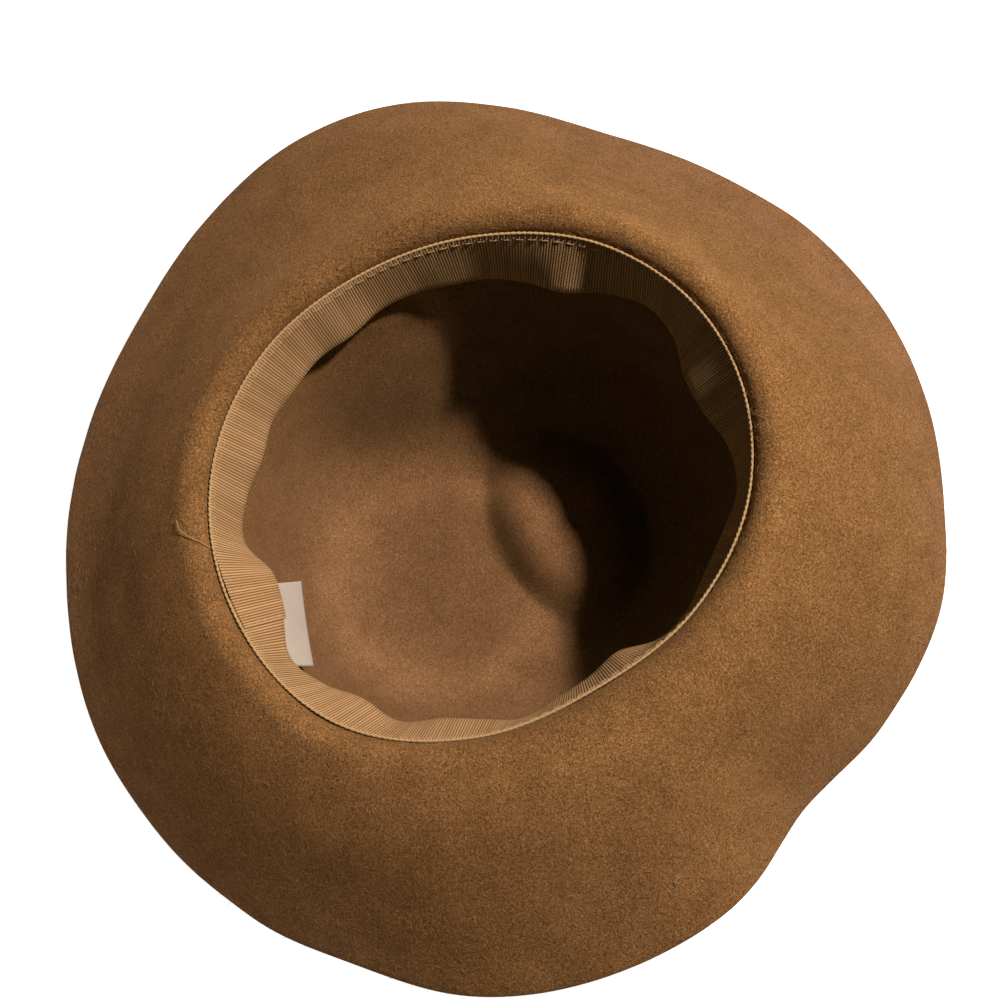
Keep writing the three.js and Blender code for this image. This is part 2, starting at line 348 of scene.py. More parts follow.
# %% Helpers that add nodes for colours and bumps
def add_mix(tree, factor, first, second, blend="MIX"):
    """A colour Mix node; each of its three values is a socket, a number or a colour."""
    node = tree.nodes.new("ShaderNodeMix")
    node.data_type = "RGBA"
    node.blend_type = blend
    for index, value in ((0, factor), (6, first), (7, second)):
        feed(tree, value, node.inputs[index])
    return node.outputs[2]


def add_bump(tree, height, strength, distance_mm, normal=None):
    """A Bump node on a height socket, perhaps over another normal; returns its normal."""
    node = tree.nodes.new("ShaderNodeBump")
    node.inputs["Strength"].default_value = strength
    node.inputs["Distance"].default_value = distance_mm * MM
    feed(tree, height, node.inputs["Height"])
    feed(tree, normal, node.inputs["Normal"])
    return node.outputs["Normal"]


def ramp(tree, value, stops):
    """A Color Ramp with (position, colour) stops; returns its colour."""
    node = tree.nodes.new("ShaderNodeValToRGB")
    elements = node.color_ramp.elements
    while len(elements) < len(stops):
        elements.new(0.5)
    for element, (position, colour) in zip(elements, stops):
        element.position = position
        element.color = colour
    feed(tree, value, node.inputs["Fac"])
    return node.outputs["Color"]


def grey(value):
    """A grey colour of one value."""
    return (value, value, value, 1.0)


def times(share, colour):
    """A colour's red, green and blue, each times one share or a share of its own."""
    return tuple(np.multiply(share, colour).tolist()) + (1.0,)


print("half of a tan colour:", times(0.5, (0.8, 0.6, 0.4)))

# %% The start of every material
# felt and cloth are never glossy, and their fuzz scatters light broadly
SPECULAR = 0.12
SHEEN_ROUGHNESS = 0.45


def start_material(name, roughness, sheen, sheen_tint):
    """A node material with its Principled BSDF, whose even values are set on the shader itself."""
    material = bpy.data.materials.new(name)
    material.use_nodes = True
    shader = material.node_tree.nodes["Principled BSDF"]
    shader.inputs["Roughness"].default_value = roughness
    shader.inputs["Specular IOR Level"].default_value = SPECULAR
    shader.inputs["Sheen Weight"].default_value = sheen
    shader.inputs["Sheen Roughness"].default_value = SHEEN_ROUGHNESS
    shader.inputs["Sheen Tint"].default_value = sheen_tint
    return material, material.node_tree, shader


print("specular level of every finish:", SPECULAR)

# %% [markdown]
# Felt is matted wool: a speckle of slightly different fibres, a cloudy unevenness of the dye and a short
# nap. A photo of felt could be laid on, but it would stretch and repeat. Noise has no seam and follows the
# piece in every view. Thread, ribbon and label have fibres too, in other sizes, so this is a node group.

# %% Matted fibres
# detail, roughness and distortion of each noise; the nap is a coarse and a finer one together
SPECKLE_NOISE = (2.0, 0.6, 1.6)
CLOUD_NOISE = (4.0, 0.55, 0.3)
COARSE_NOISE = (2.0, 0.6, 1.2)
FINE_NOISE = (2.0, 0.6, 0.8)
FINE_TIMES = 3.1
COARSE_SHARE = 0.6
FINE_SHARE = 0.4


def fibre_group():
    """Matted fibres: a speckle value about 0.5, a cloudy value about 0.5 and a nap height from 0 to 1.

    A noise's scale is 1 metre over its size. The nap is its share of coarse noise plus that of fine.
    """
    inputs = [("Speckle Size mm", 0.6), ("Cloud Size mm", 14.0), ("Nap Size mm", 0.9)]
    outputs = [("Speckle", "NodeSocketFloat"), ("Cloud", "NodeSocketFloat"), ("Nap", "NodeSocketFloat")]
    tree, group_in, group_out = new_group("matted_fibres", inputs, outputs)
    place = tree.nodes.new("ShaderNodeTexCoord").outputs["Object"]
    scales = [add_math(tree, "DIVIDE", 1 / MM, group_in.outputs[name]) for name, _ in inputs]
    speckle = add_noise(tree, place, scales[0], SPECKLE_NOISE)
    cloud = add_noise(tree, place, scales[1], CLOUD_NOISE)
    coarse = add_noise(tree, place, scales[2], COARSE_NOISE)
    fine = add_noise(tree, place, add_math(tree, "MULTIPLY", scales[2], FINE_TIMES), FINE_NOISE)
    coarse_part = add_math(tree, "MULTIPLY", coarse, COARSE_SHARE)
    nap = add_math(tree, "ADD", coarse_part, add_math(tree, "MULTIPLY", fine, FINE_SHARE))
    for name, socket in (("Speckle", speckle), ("Cloud", cloud), ("Nap", nap)):
        tree.links.new(socket, group_out.inputs[name])
    return tree


FIBRES = fibre_group()
print(f"{FIBRES.name}: {len(FIBRES.nodes)} nodes")

# %% [markdown]
# A used hat isn't one brown. The floor of its tip has a painted ring of light round a slightly darker middle
# of painted shade, with painted shade beyond it too. The brim is paler beside the ribbon, partly wear where
# hands hold it and partly a painted highlight, and dust lies low in the crown. Painting that on a texture
# would tie it to one mesh, so it is read from the distance to two middles and from the height.

# %% Wear, dust and painted light on the felt
# the middle of the tip's floor, and the distances in millimetres at which the two rings' ramps end
TIP_MIDDLE = (5.0, 28.0)
TIP_REACH = 80.0
RING_REACH = 150.0

# how much paler or darker, as painted light and shade on the tip and as wear with a painted highlight beside
# the ribbon: share of the reach from the tip's middle or the opening's centre, value
TIP_PAINTED_LIGHT_STOPS = [(0.0, 0.9), (0.38, 0.92), (0.5, 1.18), (0.66, 0.92), (1.0, 1.0)]
RING_WEAR_AND_HIGHLIGHT_STOPS = [(0.6, 1.0), (0.71, 1.2), (0.85, 1.0)]
# how low in the crown: share of the opening's height, value
LOW_STOPS = [(0.45, 1.0), (0.75, 0.0)]


def plan_distance(tree, place, middle):
    """The root of the squared x and y differences between a place and a middle in millimetres."""
    aside = [add_math(tree, "SUBTRACT", place.outputs[axis], at * MM) for axis, at in zip("XY", middle)]
    squares = [add_math(tree, "POWER", value, 2.0) for value in aside]
    return add_math(tree, "SQRT", add_math(tree, "ADD", *squares))


def mask(tree, value, reach, stops):
    """A value in metres over its reach in millimetres, through a ramp of greys."""
    share = add_math(tree, "DIVIDE", value, reach * MM)
    return ramp(tree, share, [(position, grey(part)) for position, part in stops])


def wear_and_light_group():
    """The tip's painted ring of light and shade low in the crown, and above it the brim's paler band of wear
    and painted highlight, mixed by the height.

    Low is 1 in the lower half of the crown, where dust gathers, and 0 near the opening.
    """
    outputs = [("Painted Light And Wear", "NodeSocketColor"), ("Low", "NodeSocketColor")]
    tree, _, group_out = new_group("wear_and_painted_light", [], outputs)
    place = tree.nodes.new("ShaderNodeSeparateXYZ")
    tree.links.new(tree.nodes.new("ShaderNodeTexCoord").outputs["Object"], place.inputs[0])
    # painted light and shade: a paler ring on the tip's floor, darker inside it and beyond it
    tip = mask(tree, plan_distance(tree, place, TIP_MIDDLE), TIP_REACH, TIP_PAINTED_LIGHT_STOPS)
    # wear and a painted highlight: a paler band of the brim beside the ribbon
    ring = mask(tree, plan_distance(tree, place, OPENING_CENTRE), RING_REACH, RING_WEAR_AND_HIGHLIGHT_STOPS)
    low = mask(tree, place.outputs["Z"], OPENING_HEIGHT, LOW_STOPS)
    tree.links.new(add_mix(tree, low, ring, tip), group_out.inputs["Painted Light And Wear"])
    tree.links.new(low, group_out.inputs["Low"])
    return tree


RUBBED = wear_and_light_group()
print(f"{RUBBED.name}: {len(RUBBED.nodes)} nodes")

# %% [markdown]
# The felt's finish puts these together, and its fuzz scatters light, which is the shader's sheen. In the
# photo the crown's dark side is neutral, while one brown for everything would bounce light about in there
# until it glowed red. So the material is darker and less red for bounced light alone.

# %% Felt
FELT_ROUGHNESS = 0.95
FELT_SHEEN = 0.2
FELT_SHEEN_TINT = (0.8, 0.44, 0.2, 1.0)
# sizes of the speckle, the clouds and the nap in millimetres
FELT_FIBRES = (0.55, 16.0, 1.1)
SPECKLE_STOPS = (0.35, 0.5, 0.65)
FELT_CLOUDS = [(0.3, (0.84, 0.82, 0.8, 1.0)), (0.7, grey(1.1))]
NAP_BUMP = 0.7

# what dust does to the colour, and how much of the speckle it hides
DUST_TINT = (1.03, 1.045, 1.32, 1.0)
DUST_HIDES = 0.3
# what a bounce of light off the felt keeps of its red, green and blue
BOUNCE = (0.25, 0.8, 0.8, 1.0)


def felt_material(name, dark, middle, light, nap_height):
    """Wool felt: three fibre colours by the speckle, times the clouds, times wear, painted light and dust.

    Low in the crown the speckle is mixed toward its even colour. Light that bounces off the felt sees
    the same colour times the bounce's.
    """
    material, tree, shader = start_material(name, FELT_ROUGHNESS, FELT_SHEEN, FELT_SHEEN_TINT)
    fibres = add_group(tree, FIBRES, FELT_FIBRES)
    wear_and_light = add_group(tree, RUBBED)
    speckled = ramp(tree, fibres.outputs["Speckle"], list(zip(SPECKLE_STOPS, (dark, middle, light))))
    even = tuple((first + 2 * second + third) / 4 for first, second, third in zip(dark, middle, light))
    hidden = add_math(tree, "MULTIPLY", wear_and_light.outputs["Low"], DUST_HIDES)
    calm = add_mix(tree, hidden, speckled, even)
    clouds = ramp(tree, fibres.outputs["Cloud"], FELT_CLOUDS)
    colour = add_mix(tree, 1.0, calm, clouds, "MULTIPLY")
    dusty = add_mix(tree, wear_and_light.outputs["Low"], grey(1.0), DUST_TINT)
    # dust, wear and painted light together multiply the felt's colour
    dust_wear_and_light = add_mix(tree, 1.0, dusty, wear_and_light.outputs["Painted Light And Wear"], "MULTIPLY")
    seen = add_mix(tree, 1.0, colour, dust_wear_and_light, "MULTIPLY")
    bounced = add_mix(tree, 1.0, seen, BOUNCE, "MULTIPLY")
    ray = tree.nodes.new("ShaderNodeLightPath")
    tree.links.new(add_mix(tree, ray.outputs["Is Diffuse Ray"], seen, bounced), shader.inputs["Base Color"])
    tree.links.new(add_bump(tree, fibres.outputs["Nap"], NAP_BUMP, nap_height), shader.inputs["Normal"])
    return material


DARK_WOOL = (0.11, 0.045, 0.013, 1.0)
BROWN_WOOL = (0.265, 0.115, 0.035, 1.0)
PALE_WOOL = (0.55, 0.28, 0.105, 1.0)
FELT_MATERIAL = felt_material("brown_felt", DARK_WOOL, BROWN_WOOL, PALE_WOOL, nap_height=0.7)
NAP_MATERIAL = felt_material("felt_nap", BROWN_WOOL, PALE_WOOL, PALE_WOOL, nap_height=0.1)
print("felt materials:", FELT_MATERIAL.name, "and", NAP_MATERIAL.name)

# %% [markdown]
# The felt body is the crown and brim in one. A Solidify modifier could thicken one sheet, but the cut edge
# would be square. Here a grid of rings runs from the brim's edge, over the turn and down the crown to the
# middle of its tip, and a second grid lies one felt thickness behind it along the normals. Rings along a
# half circle round the cut edge, and one point closes each side at the middle of the tip.

# %% The felt's slow unevenness
# height and wavelength in millimetres, and seed
SLOW_RIPPLE = (0.12, 46.0, 3)
QUICK_RIPPLE = (0.04, 17.0, 4)
RIPPLE_WAVES = 12
RIPPLE_SPREAD = (0.7, 1.4)


def ripple(points, height, wavelength, seed):
    """A smooth random field: a sum of sines along seeded random directions, times the height.

    The sum is divided by the root of half the number of sines, so that its mean size is 1.
    """
    random = np.random.default_rng(seed)
    directions = unit(random.normal(size=(RIPPLE_WAVES, 3)))
    lengths = wavelength * random.uniform(*RIPPLE_SPREAD, RIPPLE_WAVES)
    phases = random.uniform(0, 2 * np.pi, RIPPLE_WAVES)
    angles = points @ directions.T * (2 * np.pi / lengths) + phases
    return height * np.sin(angles).sum(axis=-1) / math.sqrt(RIPPLE_WAVES / 2)


print(f"the felt waves by {SLOW_RIPPLE[0]} mm about every {SLOW_RIPPLE[1]:.0f} mm")

# %% Build the felt body
AROUND_STEPS = 288
BRIM_ROWS = 54
CROWN_ROWS = 84
EDGE_ROWS = 3
# the height above the tip over which the unevenness sets in, so that the tip stands flat
FLAT_HEIGHT = 12.0


def felt_side():
    """The visible side as rings from the brim's edge inward, plus its unevenness along the normals."""
    azimuth = np.arange(AROUND_STEPS)[None, :] * 360.0 / AROUND_STEPS
    distance = (TURN_LENGTH + BRIM_LENGTH) * (1 - np.arange(BRIM_ROWS) / BRIM_ROWS)[:, None]
    place = np.linspace(0, len(CROWN_RINGS) - 1, CROWN_ROWS + 1)[:-1, None]
    points = np.concatenate([brim_surface(azimuth, distance), crown_surface(azimuth, place)])
    from_tip = np.clip((points[..., 2] - FELT_THICKNESS) / FLAT_HEIGHT, 0, 1)[..., None]
    uneven = ripple(points, *SLOW_RIPPLE) + ripple(points, *QUICK_RIPPLE)
    return points + normals_of(points, True) * uneven[..., None] * from_tip


def felt_body():
    """Both sides of the felt, the rounded edge between them and the two middle points.

    The edge is a half circle: the middle plus half the thickness times the sine and cosine of a turn.
    """
    seen = felt_side()
    hidden = seen - normals_of(seen, True) * FELT_THICKNESS
    hidden[..., 2] = np.maximum(hidden[..., 2], 0)
    across = (seen[0] - hidden[0]) / 2
    middle = (seen[0] + hidden[0]) / 2
    beyond = unit(seen[0] - seen[1]) * FELT_THICKNESS / 2
    turns = np.radians(np.linspace(90, -90, EDGE_ROWS + 2)[1:-1])[:, None, None]
    edge = middle + across * np.sin(turns) + beyond * np.cos(turns)
    rings = np.concatenate([seen[::-1], edge, hidden])
    faces = quads(len(rings), AROUND_STEPS, close_columns=True)
    top = crown_surface(np.array(0.0), np.array(len(CROWN_RINGS) - 1.0))
    bottom = top - np.array([0, 0, FELT_THICKNESS])
    points = np.concatenate([rings.reshape(-1, 3), top[None], bottom[None]])
    step = np.arange(AROUND_STEPS)
    after = (step + 1) % AROUND_STEPS
    last = (len(rings) - 1) * AROUND_STEPS
    top_fan = np.stack([after, step, np.full(AROUND_STEPS, len(points) - 2)], axis=-1)
    bottom_fan = np.stack([last + step, last + after, np.full(AROUND_STEPS, len(points) - 1)], axis=-1)
    return make_piece("felt_hat_body", points, [faces, top_fan, bottom_fan], FELT_MATERIAL)


hat_body = felt_body()
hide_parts("felt_body")
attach(hat_body, "root")

# %% [markdown]
# The sweatband is a grosgrain ribbon, sewn by one edge round the opening so that its free edge stands a
# little away from the crown and waves in and out. A cloth simulation could wave it, but not as in the
# photo, so its lean is a table. The last end laps over the first at the back of the hat, in front of the
# label. Grosgrain's ribs are thick cords of its weft, one a millimetre, and they stay even along it.

# %% Sizes of the ribbon, in millimetres and degrees
RIBBON_WIDTH = 25.0
RIBBON_THICKNESS = 0.6
# azimuth of the first end, and how far past it the last end reaches
RIBBON_START = 86.0
RIBBON_LAP = 7.0
# how far the face lies from the felt, and the step over the first end with the degrees it rises over
RIBBON_FACE = 1.35
LAP_STEP = 0.75
LAP_RAMP = 16.0
# ribs: pitch, height, samples of each, and how far they sway at the free edge, how often round the hat
RIB_PITCH = 1.0
RIB_HEIGHT = 0.2
RIB_STEPS = 6
RIB_SWAY = 0.9
RIB_SWAYS = 7

# how far the free edge leans in from the sewn edge every 10 degrees, fold by fold
RIBBON_LEAN = np.array([
    6.0, 9.0, 8.0, 9.0, 8.0, 10.0,
    7.0, 6.0, 14.0, 13.0, 6.5, 9.0,
    12.5, 9.0, 11.0, 9.5, 6.5, 8.0,
    9.0, 11.0, 6.0, 6.0, 8.0, 8.0,
    6.0, 8.5, 15.0, 16.0, 10.0, 7.0,
    10.0, 14.5, 11.0, 8.0, 7.5, 6.0,
])


def ease(share):
    """0 up to a share of 0, 1 from a share of 1 on, and 3 s^2 - 2 s^3 between."""
    share = np.clip(share, 0, 1)
    return share**2 * (3 - 2 * share)


def ribbon_surface(azimuth, from_sewn, behind=0.0):
    """The ribbon's face: straight down and inward from the sewn edge, stepped inward where it laps.

    The lean is how far the free edge stands inward of the sewn one; down follows from the fixed width.
    The ribs sway: a sine of the azimuth, growing toward the free edge, shifts them along the ribbon.
    """
    share = from_sewn / RIBBON_WIDTH
    step = LAP_STEP * ease((azimuth - RIBBON_START - 360) / LAP_RAMP + 1)
    azimuth = azimuth + share * RIB_SWAY * np.sin(np.radians(RIB_SWAYS * azimuth))
    lean = around(RIBBON_LEAN, azimuth)
    down = np.sqrt(RIBBON_WIDTH**2 - lean**2) * share
    radius = around(OPENING_RADIUS, azimuth) - RIBBON_FACE - step - lean * share + behind
    return stand(azimuth, radius, OPENING_HEIGHT - down)


print(f"the ribbon's free edge leans in by {RIBBON_LEAN.min():.0f} to {RIBBON_LEAN.max():.0f} mm")

# %% Lay the ribs evenly along the ribbon
LINE_SAMPLES = 4001


def even_azimuths(first, last, pitch, steps, from_sewn=RIBBON_WIDTH / 2):
    """Azimuths at even lengths along a line of the ribbon, the number of pitches up to each, its length.

    The length is the running sum of the distances between close points of the line, read backward.
    """
    fine = np.linspace(first, last, LINE_SAMPLES)
    line = ribbon_surface(fine, from_sewn)
    length = np.concatenate([[0], np.cumsum(np.linalg.norm(np.diff(line, axis=0), axis=1))])
    count = int(round(length[-1] / pitch))
    place = np.arange(count * steps + 1) / steps
    return np.interp(place / count * length[-1], length, fine), place, length[-1]


RIBBON_END = RIBBON_START + 360 + RIBBON_LAP
rib_azimuth, rib_place, ribbon_length = even_azimuths(RIBBON_START, RIBBON_END, RIB_PITCH, RIB_STEPS)
print(f"ribbon {ribbon_length:.0f} mm long with {int(rib_place[-1])} ribs")

# %% [markdown]
# The sewing thread is spun from fine fibres and has one colour. It is too thin for a weave to show, so the
# fibre group's speckle and bump are enough. The selvage's cord is the same thread, a little lighter.

# %% Thread
THREAD_ROUGHNESS = 0.6
THREAD_SHEEN = 0.1
# sizes of the speckle, the clouds and the nap in millimetres
THREAD_FIBRES = (0.35, 20.0, 0.4)
# where along the speckle, and how much of the colour
THREAD_STOPS = [(0.35, 0.8), (0.65, 1.1)]
# strength and height in millimetres
THREAD_BUMP = (0.4, 0.05)


def thread_material(name, colour):
    """Spun thread: one colour, darker and lighter by the fibres' speckle, with their fine bump."""
    material, tree, shader = start_material(name, THREAD_ROUGHNESS, THREAD_SHEEN, (*colour, 1.0))
    fibres = add_group(tree, FIBRES, THREAD_FIBRES)
    spun = ramp(tree, fibres.outputs["Speckle"], [(at, times(part, colour)) for at, part in THREAD_STOPS])
    tree.links.new(spun, shader.inputs["Base Color"])
    tree.links.new(add_bump(tree, fibres.outputs["Nap"], *THREAD_BUMP), shader.inputs["Normal"])
    return material


THREAD = thread_material("sewing_thread", (0.62, 0.37, 0.18))
SELVAGE = thread_material("selvage_thread", (0.72, 0.43, 0.2))
print("thread materials:", THREAD.name, "and", SELVAGE.name)

# %% [markdown]
# Where two cords meet and where two threads meet across a cord, painted shade darkens the cloth's colour,
# and no two cords are quite alike. A picture of cloth would blur close up, so both patterns are worked out
# from the piece's own UV, laid out in millimetres. Ribbon and label share them with their own pitches.

# %% Woven threads
VALLEY_POWER = 1.5
# each cord's threads lie half a pitch further along than the last one's
CORD_SHIFT = 0.5


def woven_group():
    """Threads across a cord: a height and a shade from 0 to 1 by the surface's UV, in millimetres.

    The height is half a sine plus a half. The shade is 1 less each cord's chance share, less Valley times a
    power of the distance from the cord's crown, less Thread Valley times how low the thread is; the two
    valley terms are painted shade.
    """
    inputs = [("Thread Pitch mm", 0.7), ("Cord Pitch mm", 1.0), ("Cord Change", 0.2), ("Valley", 0.5),
              ("Thread Valley", 0.2)]
    outputs = [("Height", "NodeSocketFloat"), ("Shade", "NodeSocketFloat")]
    tree, group_in, group_out = new_group("woven_threads", inputs, outputs)
    thread_pitch, cord_pitch, cord_change, valley, thread_valley = group_in.outputs[:5]
    split = tree.nodes.new("ShaderNodeSeparateXYZ")
    tree.links.new(tree.nodes.new("ShaderNodeTexCoord").outputs["UV"], split.inputs[0])
    place = add_math(tree, "DIVIDE", split.outputs["X"], cord_pitch)
    cord = add_math(tree, "FLOOR", place)
    from_crown = add_math(tree, "ABSOLUTE", add_math(tree, "SUBTRACT", add_math(tree, "FRACT", place), 0.5))
    deep = add_math(tree, "POWER", add_math(tree, "MULTIPLY", from_crown, 2.0), VALLEY_POWER)
    across = add_math(tree, "DIVIDE", split.outputs["Y"], thread_pitch)
    shifted = add_math(tree, "ADD", across, add_math(tree, "MULTIPLY", cord, CORD_SHIFT))
    wave = add_math(tree, "SINE", add_math(tree, "MULTIPLY", shifted, 2 * math.pi))
    height = add_math(tree, "ADD", add_math(tree, "MULTIPLY", wave, 0.5), 0.5)
    chance = tree.nodes.new("ShaderNodeTexWhiteNoise")
    chance.noise_dimensions = "1D"
    tree.links.new(cord, chance.inputs["W"])
    change = add_math(tree, "MULTIPLY", chance.outputs["Value"], cord_change)
    # painted shade: darker in the valleys between threads and between cords
    between = add_math(tree, "MULTIPLY", add_math(tree, "SUBTRACT", 1.0, height), thread_valley)
    darker = add_math(tree, "ADD", change, add_math(tree, "MULTIPLY", deep, valley))
    shade = add_math(tree, "SUBTRACT", 1.0, add_math(tree, "ADD", darker, between), True)
    tree.links.new(height, group_out.inputs["Height"])
    tree.links.new(shade, group_out.inputs["Shade"])
    return tree


WOVEN = woven_group()
print(f"{WOVEN.name}: {len(WOVEN.nodes)} nodes")

# %% Woven cloth and grosgrain
# painted shade in the valleys: what a valley keeps of the cloth's red, green and blue
VALLEY_PAINTED_SHADE = (0.3, 0.2, 0.12)
# sizes of the speckle, the clouds and the nap in millimetres
CLOTH_FIBRES = (0.5, 20.0, 0.4)
# where along the clouds, and how much of the colour
CLOTH_CLOUDS = [(0.3, 0.9), (0.7, 1.08)]
WEAVE_BUMP = 0.5
FIBRE_BUMP = 0.4


def woven_material(name, colour, roughness, sheen, weave, bump_mm):
    """Woven cloth in one colour: each cord a little darker or lighter, painted shade in its valleys, threads
    raised across it.

    weave is the thread pitch and cord pitch in millimetres, the cords' change, and how much painted shade
    darkens it between cords and between threads.
    """
    material, tree, shader = start_material(name, roughness, sheen, (*colour, 1.0))
    woven = add_group(tree, WOVEN, weave)
    fibres = add_group(tree, FIBRES, CLOTH_FIBRES)
    clouds = ramp(tree, fibres.outputs["Cloud"], [(at, times(part, colour)) for at, part in CLOTH_CLOUDS])
    # the valleys' painted shade is mixed into the colour by the group's shade
    shaded = add_mix(tree, woven.outputs["Shade"], times(VALLEY_PAINTED_SHADE, colour), clouds)
    tree.links.new(shaded, shader.inputs["Base Color"])
    threads = add_bump(tree, woven.outputs["Height"], WEAVE_BUMP, bump_mm)
    finished = add_bump(tree, fibres.outputs["Nap"], FIBRE_BUMP, bump_mm, threads)
    tree.links.new(finished, shader.inputs["Normal"])
    return material


# thread pitch, cord pitch, cords' change, painted shade between cords and between threads
GROSGRAIN_WEAVE = (0.7, RIB_PITCH, 0.2, 0.95, 0.3)
GROSGRAIN = woven_material("tan_grosgrain", (1.0, 0.62, 0.31), roughness=0.72, sheen=0.1,
                           weave=GROSGRAIN_WEAVE, bump_mm=0.25)
print(f"{GROSGRAIN.name}: a cord each {RIB_PITCH} mm")

# %% [markdown]
# A rib of grosgrain is a raised round with a sharp valley beside it, and at both edges its cord turns
# back, which gives the edges small beads. A bump could only shade that, and the edge would stay smooth
# against the dark crown. So the ribs are in the mesh, with six samples each.

# %% Build the ribbon
FACE_ROWS = 9
BACK_ROWS = 4
# how far a cord's turn stands out past the ribbon's edge, and the share of that in a valley
EDGE_BEAD = 0.35
VALLEY_BEAD = 0.3


def ribbon():
    """A loop round the ribbon's cross-section at each sample: face, free edge, back and sewn edge.

    Across a rib the height is that of a half ellipse, sqrt(1 - (2 s - 1)^2) for a share s of its pitch.
    """
    share = np.mod(rib_place, 1.0)
    rib = np.sqrt(np.clip(1 - (2 * share - 1) ** 2, 0, 1))
    from_sewn = np.linspace(0, RIBBON_WIDTH, FACE_ROWS)[:, None]
    face = ribbon_surface(rib_azimuth[None, :], from_sewn)
    toward = normals_of(face, False)
    middle = face - toward * RIBBON_THICKNESS / 2
    lift = (RIBBON_THICKNESS / 2 - RIB_HEIGHT + RIB_HEIGHT * rib)[None, :, None]
    back_rows = np.linspace(FACE_ROWS - 1, 0, BACK_ROWS).astype(int)
    front, back = middle + toward * lift, (middle - toward * lift)[back_rows]
    bead = unit(middle[0] - middle[1]) * EDGE_BEAD * (VALLEY_BEAD + (1 - VALLEY_BEAD) * rib)[:, None]
    free_edge = middle[-1] - bead
    sewn_edge = middle[0] + bead
    loop = np.concatenate([front, free_edge[None], back, sewn_edge[None]])
    across = np.concatenate([from_sewn[:, 0], [RIBBON_WIDTH], from_sewn[back_rows, 0], [0.0]])
    uv = np.stack(np.broadcast_arrays(rib_place[None, :] * RIB_PITCH, across[:, None]), axis=-1)
    rows, columns = loop.shape[:2]
    first_end = np.arange(rows)[::-1] * columns
    last_end = np.arange(rows) * columns + columns - 1
    groups = [quads(rows, columns, close_rows=True), first_end[None], last_end[None]]
    return make_piece("grosgrain_band", loop, groups, GROSGRAIN, uv)


sweatband = ribbon()
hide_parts("sweatband")
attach(sweatband, "root")

# %% [markdown]
# Threads hold the ribbon to the felt. All of them are tubes: a round profile carried along a path. Blender
# bevels a curve into a tube too, but an array of paths makes hundreds of stitches in one mesh.

# %% Tubes along paths
# how much of a two-ply cord's radius its plies swing by
PLY_SWING = 0.3
# a stitch's path has DASH_POINTS points, and its arch is DASH_ARCH high from DASH_SUNK under the ribbon's
# face, cut flat at DASH_FLAT, all in shares of its rise
DASH_POINTS = 9
DASH_ARCH = 1.5
DASH_SUNK = 0.75
DASH_FLAT = 0.45


def tubes(paths, radius, reference, sides=6, lobes=0, twist=0.0):
    """Tubes along many paths at once: path points plus radius times a circle in each point's normal plane.

    The plane's axes are the cross products of the tangent with a reference direction. With lobes, the
    radius swings with the cosine of lobes times the angle, turned by twist per point, as a rope's plies do.
    """
    tangent = unit(np.gradient(paths, axis=1))
    side = unit(np.cross(tangent, reference))
    top = np.cross(side, tangent)
    angle = np.arange(sides) * 2 * np.pi / sides
    turned = lobes * angle - twist * np.arange(paths.shape[1])[:, None]
    reach = radius * (1 + (PLY_SWING if lobes else 0) * np.cos(turned))[None, ..., None]
    around_it = np.cos(angle)[:, None] * side[..., None, :] + np.sin(angle)[:, None] * top[..., None, :]
    points = paths[..., None, :] + reach * around_it
    count, length = paths.shape[:2]
    starts = np.arange(count)[:, None, None] * length * sides
    walls = (quads(length, sides, close_columns=True)[None] + starts).reshape(-1, 4)
    first = (np.arange(sides)[None] + starts[:, 0]).reshape(-1, sides)
    return points, [walls, first[:, ::-1], first + (length - 1) * sides]


def dash_paths(start, end, rise):
    """Paths of stitches from start to end points, plus a half sine, cut flat, along a rise vector."""
    share = np.linspace(0, 1, DASH_POINTS)[None, :, None]
    arch = np.minimum(DASH_ARCH * np.sin(np.pi * share) - DASH_SUNK, DASH_FLAT)
    return start[:, None] + (end - start)[:, None] * share + rise[:, None] * arch


print(f"a stitch is a tube along {DASH_POINTS} points")

# %% [markdown]
# A running stitch shows as short dashes a little inside the sewn edge, and the lap has a few stitches of
# its own. Dashes could be instances of one mesh, but each lies on its own bit of the waving ribbon, so
# every path starts and ends on the ribbon's surface.

# %% Running stitch and lap stitches
STITCH_PITCH = 4.6
STITCH_LENGTH = 3.0
STITCH_FROM_EDGE = 2.2
STITCH_RADIUS = 0.19
STITCH_RISE = 0.18
# the degrees before the ribbon's end at which the running stitch stops
STITCH_STOP = 1
LAP_STITCHES = np.array([2.5, 7.0, 11.5, 16.0, 20.5])
LAP_STITCH_INSET = 0.9
LAP_STITCH_LENGTH = 2.6
UP = np.array([0.0, 0.0, 1.0])


def inward_at(azimuth):
    """Unit vectors from the wall toward the opening's middle: minus the azimuth's cosine and sine."""
    angle = np.radians(azimuth)
    return np.stack([-np.cos(angle), -np.sin(angle), np.zeros_like(angle)], axis=-1)


def running_stitch():
    """Dashes at an even pitch along the ribbon, each arching off its face and dipping in at the ends."""
    pitches = even_azimuths(
        RIBBON_START + RIBBON_LAP, RIBBON_END - STITCH_STOP, STITCH_PITCH, 1, STITCH_FROM_EDGE)[0]
    begin = pitches[:-1]
    finish = begin + np.diff(pitches) * STITCH_LENGTH / STITCH_PITCH
    start = ribbon_surface(begin, STITCH_FROM_EDGE)
    end = ribbon_surface(finish, STITCH_FROM_EDGE)
    return dash_paths(start, end, inward_at((begin + finish) / 2) * STITCH_RISE)


def lap_stitch():
    """A row of dashes across the ribbon, one inset before its last end."""
    turn_per_mm = 360 / ribbon_length
    azimuth = np.full(len(LAP_STITCHES), RIBBON_END - LAP_STITCH_INSET * turn_per_mm)
    start = ribbon_surface(azimuth, LAP_STITCHES)
    end = ribbon_surface(azimuth, LAP_STITCHES + LAP_STITCH_LENGTH)
    return dash_paths(start, end, inward_at(azimuth) * STITCH_RISE)


